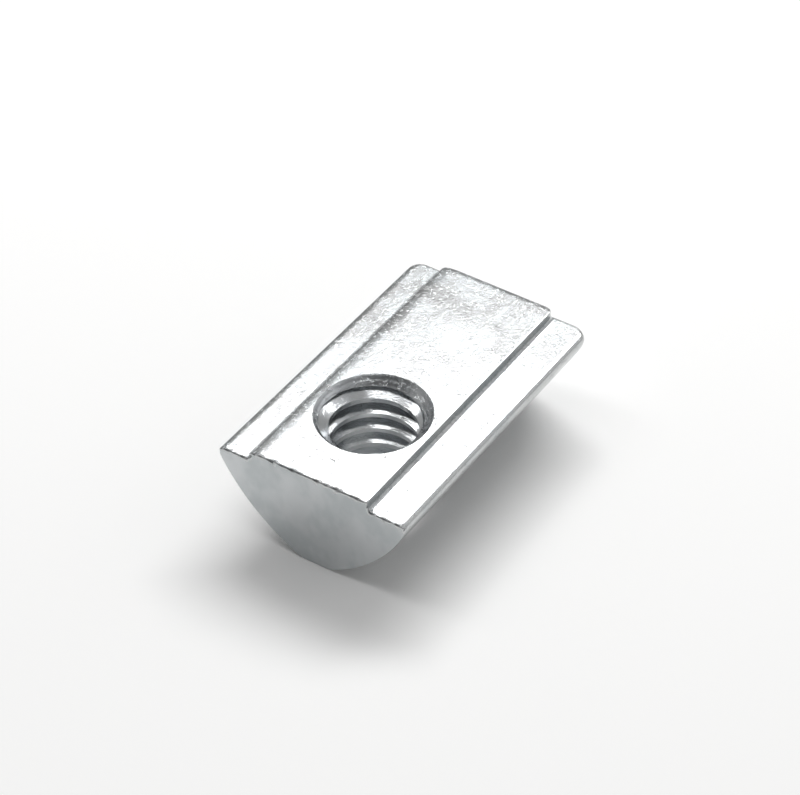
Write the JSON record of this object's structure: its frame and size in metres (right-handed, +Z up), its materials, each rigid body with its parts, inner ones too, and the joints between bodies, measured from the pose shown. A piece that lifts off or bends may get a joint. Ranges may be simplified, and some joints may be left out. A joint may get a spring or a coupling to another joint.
{
  "type": "t slot nut",
  "caption": "Slide-in nut for a 10 mm T-slot: a drawn steel bar with a low tongue, two shoulders, a rounded belly and a tapped, countersunk hole near one end.",
  "frame": {"origin": "middle of the belly's flat, under the middle of the bar's length", "axes": "+X across the slot, +Y along it from the plain end to the rolled end, +Z up out of it along the tapped hole"},
  "size_m": [0.0154, 0.0244, 0.0082],
  "materials": {
    "zinc_plate": "bright zinc plating over drawn steel, lightly mottled, with a matt cropped end"
  },
  "bodies": {
    "root": {"nut_body": "zinc_plate"}
  },
  "joints": []
}
